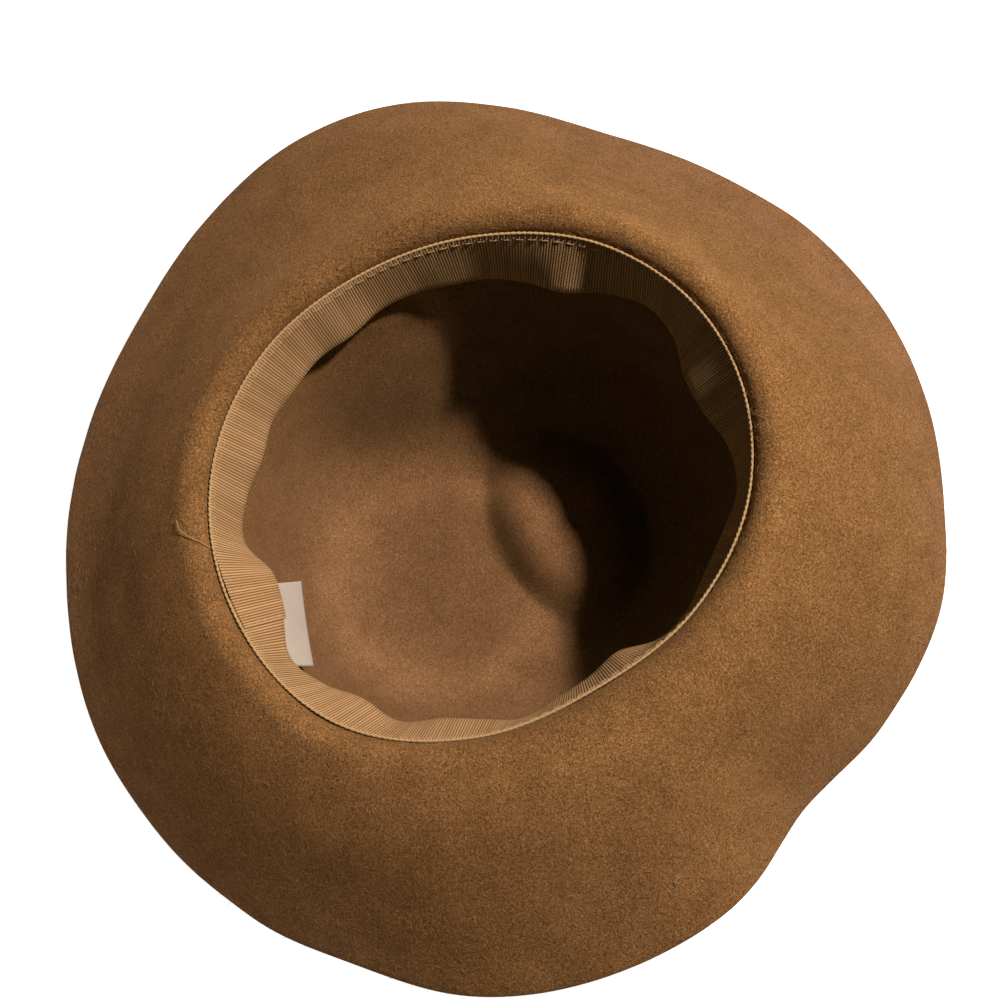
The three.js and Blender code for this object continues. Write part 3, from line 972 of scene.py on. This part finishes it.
stitch_paths = running_stitch()
stitches = make_piece("band_stitches", *tubes(stitch_paths, STITCH_RADIUS, UP), THREAD)
lap_tubes = tubes(lap_stitch(), STITCH_RADIUS, inward_at(RIBBON_START + RIBBON_LAP))
lap_seam = make_piece("lap_stitches", *lap_tubes, THREAD)
print(f"{len(stitch_paths)} dashes round the band, {len(LAP_STITCHES)} down the lap")

# %% [markdown]
# A twisted cord of the selvage lies along the ribbon's sewn edge and catches the light. Two plies could be
# two tubes wound round each other. One tube whose radius has two lobes that turn along it looks the same
# and has no faces hidden between the plies.

# %% Selvage cord
CORD_RADIUS = 0.5
CORD_TWIST_PITCH = 2.0
CORD_STEPS_PER_TWIST = 8
CORD_SIDES = 8
CORD_PLIES = 2
CORD_ABOVE_EDGE = 0.6
CORD_BEHIND_FACE = 0.62

cord_azimuth = even_azimuths(
    RIBBON_START + RIBBON_LAP, RIBBON_END, CORD_TWIST_PITCH, CORD_STEPS_PER_TWIST, 0.0)[0]
cord_path = ribbon_surface(np.mod(cord_azimuth, 360), 0.0, CORD_BEHIND_FACE) + CORD_ABOVE_EDGE * UP
cord_twist = 2 * np.pi / CORD_STEPS_PER_TWIST
cord_tube = tubes(cord_path[None], CORD_RADIUS, UP, CORD_SIDES, CORD_PLIES, cord_twist)
selvage = make_piece("selvage_cord", *cord_tube, SELVAGE)
for piece in (stitches, lap_seam, selvage):
    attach(piece, "root")

# %% [markdown]
# The label is a short strip of woven satin, sewn in behind the ribbon at the back of the hat. The real one
# is printed, and here it is bare. It hangs straight down and inward from the ribbon's free edge, and its
# lower corners curl a little off the crown. A sheet could be dropped by the cloth solver, but a stiff
# label keeps flat, so straight lines across it are nearer to the real one.

# %% Sizes of the label, in millimetres and degrees
# azimuths of its two sides; at each, how far behind the ribbon's face it is tucked and how it leans
LABEL_FROM = 83.5
LABEL_TO = 101.5
LABEL_BEHIND_FROM = 1.8
LABEL_BEHIND_TO = 2.4
LABEL_LEAN_FROM = 23.0
LABEL_LEAN_TO = 15.5
# its length behind the ribbon and below it, its width cut flat, thickness and the corners' curl
LABEL_TUCK = 10.0
LABEL_DROP = 20.5
LABEL_THICKNESS = 0.35
LABEL_CURL = 0.4
LABEL_ROWS = 34
LABEL_COLUMNS = 40

# thread pitch, cord pitch, cords' change, painted shade between cords and between threads
SATIN_WEAVE = (0.35, 0.35, 0.04, 0.1, 0.0)
SATIN = woven_material("pale_satin", (0.76, 0.61, 0.515), roughness=0.5, sheen=0.1,
                       weave=SATIN_WEAVE, bump_mm=0.04)
print(f"{SATIN.name}: a thread each {SATIN_WEAVE[0]} mm")

# %% Build the label
def label_surface(across, from_sewn):
    """Straight lines between two lines behind the ribbon, then straight down at a lean, plus a curl.

    across runs from 0 to 1 over the label's width, which stays straight where the ribbon waves before it,
    and the lean changes evenly with it. The curl grows with the square of the length below the ribbon
    and is greatest at the lower corners.
    """
    below = np.maximum(from_sewn - RIBBON_WIDTH, 0)
    tucked = np.minimum(from_sewn, RIBBON_WIDTH)
    start = ribbon_surface(LABEL_FROM, tucked, LABEL_BEHIND_FROM)
    end = ribbon_surface(LABEL_TO, tucked, LABEL_BEHIND_TO)
    points = start + (end - start) * across[..., None]
    curl = LABEL_CURL * (below / LABEL_DROP) ** 2 * (2 * across - 1) ** 2
    lean = np.radians(LABEL_LEAN_FROM + (LABEL_LEAN_TO - LABEL_LEAN_FROM) * across)
    inward = below * np.sin(lean) + curl
    points += inward_at((LABEL_FROM + LABEL_TO) / 2) * inward[..., None]
    points[..., 2] -= below * np.cos(lean)
    return points


def label():
    """Two parallel grids half a thickness to each side of the label's middle surface, joined all round."""
    across = np.linspace(0, 1, LABEL_COLUMNS)[None, :]
    down = np.linspace(RIBBON_WIDTH - LABEL_TUCK, RIBBON_WIDTH + LABEL_DROP, LABEL_ROWS)[:, None]
    middle = label_surface(across, down)
    half = normals_of(middle, False) * LABEL_THICKNESS / 2
    loop = np.concatenate([middle + half, (middle - half)[::-1]])
    width = np.linalg.norm(middle[0, -1] - middle[0, 0])
    down_both = np.concatenate([down, down[::-1]])
    uv = np.stack(np.broadcast_arrays(across * width, down_both), axis=-1)
    rows, columns = loop.shape[:2]
    low = np.arange(LABEL_ROWS - 1)
    high = 2 * LABEL_ROWS - 2 - low
    left = np.stack([low, low + 1, high, high + 1], axis=-1) * columns
    right = left[:, ::-1] + columns - 1
    groups = [quads(rows, columns, close_rows=True), left, right]
    print(f"label {width:.1f} mm wide and {down[-1, 0] - down[0, 0]:.0f} mm long")
    return make_piece("satin_label", loop, groups, SATIN, uv)


satin_label = label()
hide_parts("label")
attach(satin_label, "root")

# %% [markdown]
# A used hat carries small accidents: a loose end of sewing thread over the band's edge on the wearer's
# right at the back, and a speck of lint on the brim. A drawn curve would do for the thread, but then
# it wouldn't follow the felt, so its path is a table of places on the brim. Lint is a tangle of sines.

# %% Loose thread and lint
# rows along the thread: azimuth, distance from the sewn edge over the felt, height above the felt
LOOSE_THREAD = np.array([
    (67.7, 13.5, 0.3),
    (69.8, 12.0, 1.0),
    (71.3, 9.3, 1.2),
    (72.8, 5.5, 1.0),
    (74.3, 1.0, 0.5),
])
LOOSE_POINTS = 33
LOOSE_RADIUS = 0.17
LINT_AZIMUTH = 177.0
LINT_FROM_OPENING = 76.0
LINT_ABOVE = 0.3
LINT_SIZE = 0.66
LINT_STRANDS = 7
LINT_POINTS = 25
LINT_RADIUS = 0.09
# how many radians a strand's sines run through, and how flat the tangle lies
LINT_TURNS = (1, 6)
LINT_FLAT = 0.5
# a direction that no strand keeps to, and a strand's number of sides
LINT_REFERENCE = np.array([0.3, 0.5, 1.0])
LINT_SIDES = 5
LINT_SEED = 8

loose_place = np.linspace(0, len(LOOSE_THREAD) - 1, LOOSE_POINTS)
loose_azimuth, loose_distance, loose_above = [along(column, loose_place) for column in LOOSE_THREAD.T]
loose_path = brim_surface(loose_azimuth, loose_distance) + loose_above[:, None] * UP
loose_thread = make_piece("loose_thread", *tubes(loose_path[None], LOOSE_RADIUS, UP), THREAD)


def lint():
    """Strands that wander about one place on the brim: sums of three sines in each direction."""
    random = np.random.default_rng(LINT_SEED)
    place = brim_surface(np.array(LINT_AZIMUTH), np.array(LINT_FROM_OPENING))
    share = np.linspace(0, 1, LINT_POINTS)[None, :, None]
    waves = random.uniform(*LINT_TURNS, (3, LINT_STRANDS, 1, 3))
    phases = random.uniform(0, 2 * np.pi, (3, LINT_STRANDS, 1, 3))
    wander = np.sin(waves * share[None] + phases).sum(axis=0)
    wander[..., 2] = np.abs(wander[..., 2]) * LINT_FLAT
    return place + LINT_ABOVE * UP + LINT_SIZE * wander


lint_speck = make_piece("lint_speck", *tubes(lint(), LINT_RADIUS, LINT_REFERENCE, LINT_SIDES), THREAD)
for piece in (loose_thread, lint_speck):
    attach(piece, "root")

# %% [markdown]
# Felt has a nap: short fibres that stand off it, most of all on the tight turn beside the ribbon, where
# fingers and the head brush it up. A hair system would be the usual way, but it isn't a mesh that can be
# kept. So each fibre is a thin tube of three sides that starts on the felt, leans away in a chance
# direction and bends back toward it.

# %% Nap fibres on the brim and its turn
NAP_COUNT = 6000
NAP_SEED = 21
# share of the fibres that are set on the turn, and where there the first ones stand
NAP_ON_TURN = 0.3
NAP_TURN_FROM = 1.0
# share of the brim's spread beside the opening that is left to the fibres on the turn
NAP_FREE = 0.02
NAP_LENGTH = 2.4
NAP_LENGTHS = (0.5, 1.3)
NAP_RISE = 0.5
NAP_RISES = (0.2, 1)
NAP_BEND = 0.25
# share of a half sine that a fibre's rise runs through
NAP_ARCH = 0.8
NAP_RADIUS = 0.05
NAP_SIDES = 3
NAP_POINTS = 5
NAP_STEP = 0.05


def brim_axes(azimuth, distance):
    """Points of the brim with their outward direction, direction round the hat and normal, all unit.

    The directions are differences of the surface over a small step, and the normal is their cross.
    """
    points = brim_surface(azimuth, distance)
    outward = unit(brim_surface(azimuth, distance + NAP_STEP) - points)
    round_it = unit(brim_surface(azimuth + NAP_STEP, distance) - points)
    return points, outward, round_it, unit(np.cross(outward, round_it))


def nap_paths():
    """Along each fibre the way is its length times the share, and the height rises as its sine."""
    random = np.random.default_rng(NAP_SEED)
    azimuth = random.uniform(0, 360, NAP_COUNT)
    distance = (TURN_LENGTH + BRIM_LENGTH) * np.sqrt(random.uniform(NAP_FREE, 1, NAP_COUNT))
    near = random.uniform(0, 1, NAP_COUNT) < NAP_ON_TURN
    distance = np.where(near, random.uniform(NAP_TURN_FROM, TURN_LENGTH, NAP_COUNT), distance)
    points, outward, round_it, normal = brim_axes(azimuth, distance)
    angle = random.uniform(0, 2 * np.pi, NAP_COUNT)[:, None]
    heading = np.cos(angle) * outward + np.sin(angle) * round_it
    aside = np.cross(normal, heading)
    share = np.linspace(0, 1, NAP_POINTS)[None, :, None]
    length = NAP_LENGTH * random.uniform(*NAP_LENGTHS, NAP_COUNT)[:, None, None]
    bend = random.normal(0, NAP_BEND, NAP_COUNT)[:, None, None]
    rise = NAP_RISE * random.uniform(*NAP_RISES, NAP_COUNT)[:, None, None]
    way = heading[:, None] * share + aside[:, None] * bend * share**2
    lift = rise * np.sin(NAP_ARCH * np.pi * share)
    return points[:, None] + length * way + normal[:, None] * lift, normal


nap_lines, nap_normals = nap_paths()
nap_tubes = tubes(nap_lines, NAP_RADIUS, nap_normals[:, None], NAP_SIDES)
felt_nap = make_piece("felt_nap", *nap_tubes, NAP_MATERIAL)
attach(felt_nap, "root")

# %% [markdown]

# %% [markdown]
# The camera looks down at the hat from a metre, a little from the wearer's left, as in the photo. It
# could be turned by hand until it fits, but then nobody could say where it stands. Its direction is a tilt
# from straight up toward an azimuth, and it is turned so that a chosen azimuth points up in the picture.

# %% Camera
CAMERA_TILT = 15.0
CAMERA_TOWARD = 182.0
PICTURE_UP = 331.0
CAMERA_DISTANCE = 1.0
# focal length in sensor widths
LENS_PER_WIDTH = 2.86
SENSOR_WIDTH = 36.0
# the tilt of a level direction
LEVEL = 90.0
# the middle of the picture, in millimetres from the opening's centre
AIM_ASIDE = np.array([-10.7, -3.6])
AIM = np.array([*(OPENING_CENTRE + AIM_ASIDE), OPENING_HEIGHT]) * MM


def direction(tilt, azimuth):
    """The unit vector tilted from straight up toward an azimuth: the tilt's sine aside, its cosine up."""
    tilt, azimuth = np.radians(tilt), np.radians(azimuth)
    return np.array([np.sin(tilt) * np.cos(azimuth), np.sin(tilt) * np.sin(azimuth), np.cos(tilt)])


def place_facing(thing, position, back, up):
    """Puts a camera or lamp at a position, its back along one vector and its top toward another.

    Its side is the cross product of up and back, and its top the cross product of back and side.
    """
    side = unit(np.cross(up, back))
    matrix = np.eye(4)
    matrix[:3] = np.stack([side, np.cross(back, side), back, position], axis=1)
    thing.matrix_world = Matrix(matrix.tolist())


camera = bpy.data.objects.new("camera", bpy.data.cameras.new("camera"))
camera.data.sensor_width = SENSOR_WIDTH
camera.data.lens = LENS_PER_WIDTH * SENSOR_WIDTH
bpy.context.scene.collection.objects.link(camera)
toward_camera = direction(CAMERA_TILT, CAMERA_TOWARD)
camera_place = AIM + CAMERA_DISTANCE * toward_camera
place_facing(camera, camera_place, toward_camera, direction(LEVEL, PICTURE_UP))
bpy.context.scene.camera = camera
print("camera in metres:", np.round(camera_place, 3))

# %% [markdown]
# The photo has one soft lamp, high over the hat's front, and little else: the far side of the crown's
# inside is almost black. A sun would give a hard edge to that shadow. An area lamp 0.13 m wide and 2.2 m
# away gives its soft one. A low strip behind the hat lights the brim's outer slope there, and hardly
# reaches inside the crown.

# %% Lamps
KEY_TILT = 41.0
KEY_AZIMUTH = 270.0
KEY_DISTANCE = 2.2
KEY_SIZE = 0.13
KEY_WATTS = 50.0
KEY_COLOUR = (1.0, 0.96, 0.9)
STRIP_AZIMUTH = 85.0
STRIP_DISTANCE = 1.5
STRIP_WIDTH = 1.2
STRIP_HEIGHT = 0.16
STRIP_ABOVE_FLOOR = 0.005
STRIP_WATTS = 5.0
STRIP_COLOUR = (1.0, 0.88, 0.74)
# the direction that a lamp's top is turned toward
LAMP_UP = np.array([0.0, 0.3, 1.0])


def area_lamp(name, target, tilt, azimuth, distance, size, watts, colour):
    """A rectangular lamp at a target plus a distance along a direction, facing back at the target."""
    lamp = bpy.data.objects.new(name, bpy.data.lights.new(name, "AREA"))
    lamp.data.shape = "RECTANGLE"
    lamp.data.size, lamp.data.size_y = size
    lamp.data.energy = watts
    lamp.data.color = colour
    bpy.context.scene.collection.objects.link(lamp)
    back = direction(tilt, azimuth)
    place_facing(lamp, target + distance * back, back, LAMP_UP)


area_lamp("key_lamp", AIM, KEY_TILT, KEY_AZIMUTH, KEY_DISTANCE, (KEY_SIZE, KEY_SIZE), KEY_WATTS, KEY_COLOUR)
strip_target = np.array([AIM[0], AIM[1], STRIP_HEIGHT / 2 + STRIP_ABOVE_FLOOR])
area_lamp("low_strip", strip_target, LEVEL, STRIP_AZIMUTH, STRIP_DISTANCE, (STRIP_WIDTH, STRIP_HEIGHT),
          STRIP_WATTS, STRIP_COLOUR)
print(f"key lamp {KEY_WATTS} W and low strip {STRIP_WATTS} W")

# %% [markdown]
# The rest of the light is a faint, cool studio. The photo's background is plain white without a shadow,
# which a lit floor would never be. So the floor glows white for the camera alone, and for the hat it is a
# plain pale floor.

# %% Studio and floor
STUDIO_COLOUR = (0.92, 1.0, 0.95, 1.0)
STUDIO_STRENGTH = 0.025
FLOOR_SIZE = 6000.0
FLOOR_COLOUR = (0.85, 0.85, 0.84, 1.0)
FLOOR_ROUGHNESS = 0.9
GLOW_COLOUR = (1.0, 1.0, 0.99, 1.0)

world = bpy.data.worlds.new("studio")
world.use_nodes = True
world.node_tree.nodes["Background"].inputs["Color"].default_value = STUDIO_COLOUR
world.node_tree.nodes["Background"].inputs["Strength"].default_value = STUDIO_STRENGTH
bpy.context.scene.world = world

floor_material = bpy.data.materials.new("pale_floor")
floor_material.use_nodes = True
floor_tree = floor_material.node_tree
floor_shader = floor_tree.nodes["Principled BSDF"]
floor_shader.inputs["Base Color"].default_value = FLOOR_COLOUR
floor_shader.inputs["Roughness"].default_value = FLOOR_ROUGHNESS
floor_shader.inputs["Emission Color"].default_value = GLOW_COLOUR
floor_ray = floor_tree.nodes.new("ShaderNodeLightPath")
floor_tree.links.new(floor_ray.outputs["Is Camera Ray"], floor_shader.inputs["Emission Strength"])
floor_corners = FLOOR_SIZE / 2 * np.array([(-1, -1, 0), (1, -1, 0), (1, 1, 0), (-1, 1, 0)], dtype=float)
floor = make_piece("floor", floor_corners, [np.arange(4)[None]], floor_material)

bpy.context.scene.view_settings.view_transform = "Standard"

# %% Finish
print("pieces of the hat are done; the floor and the lamps are stage")
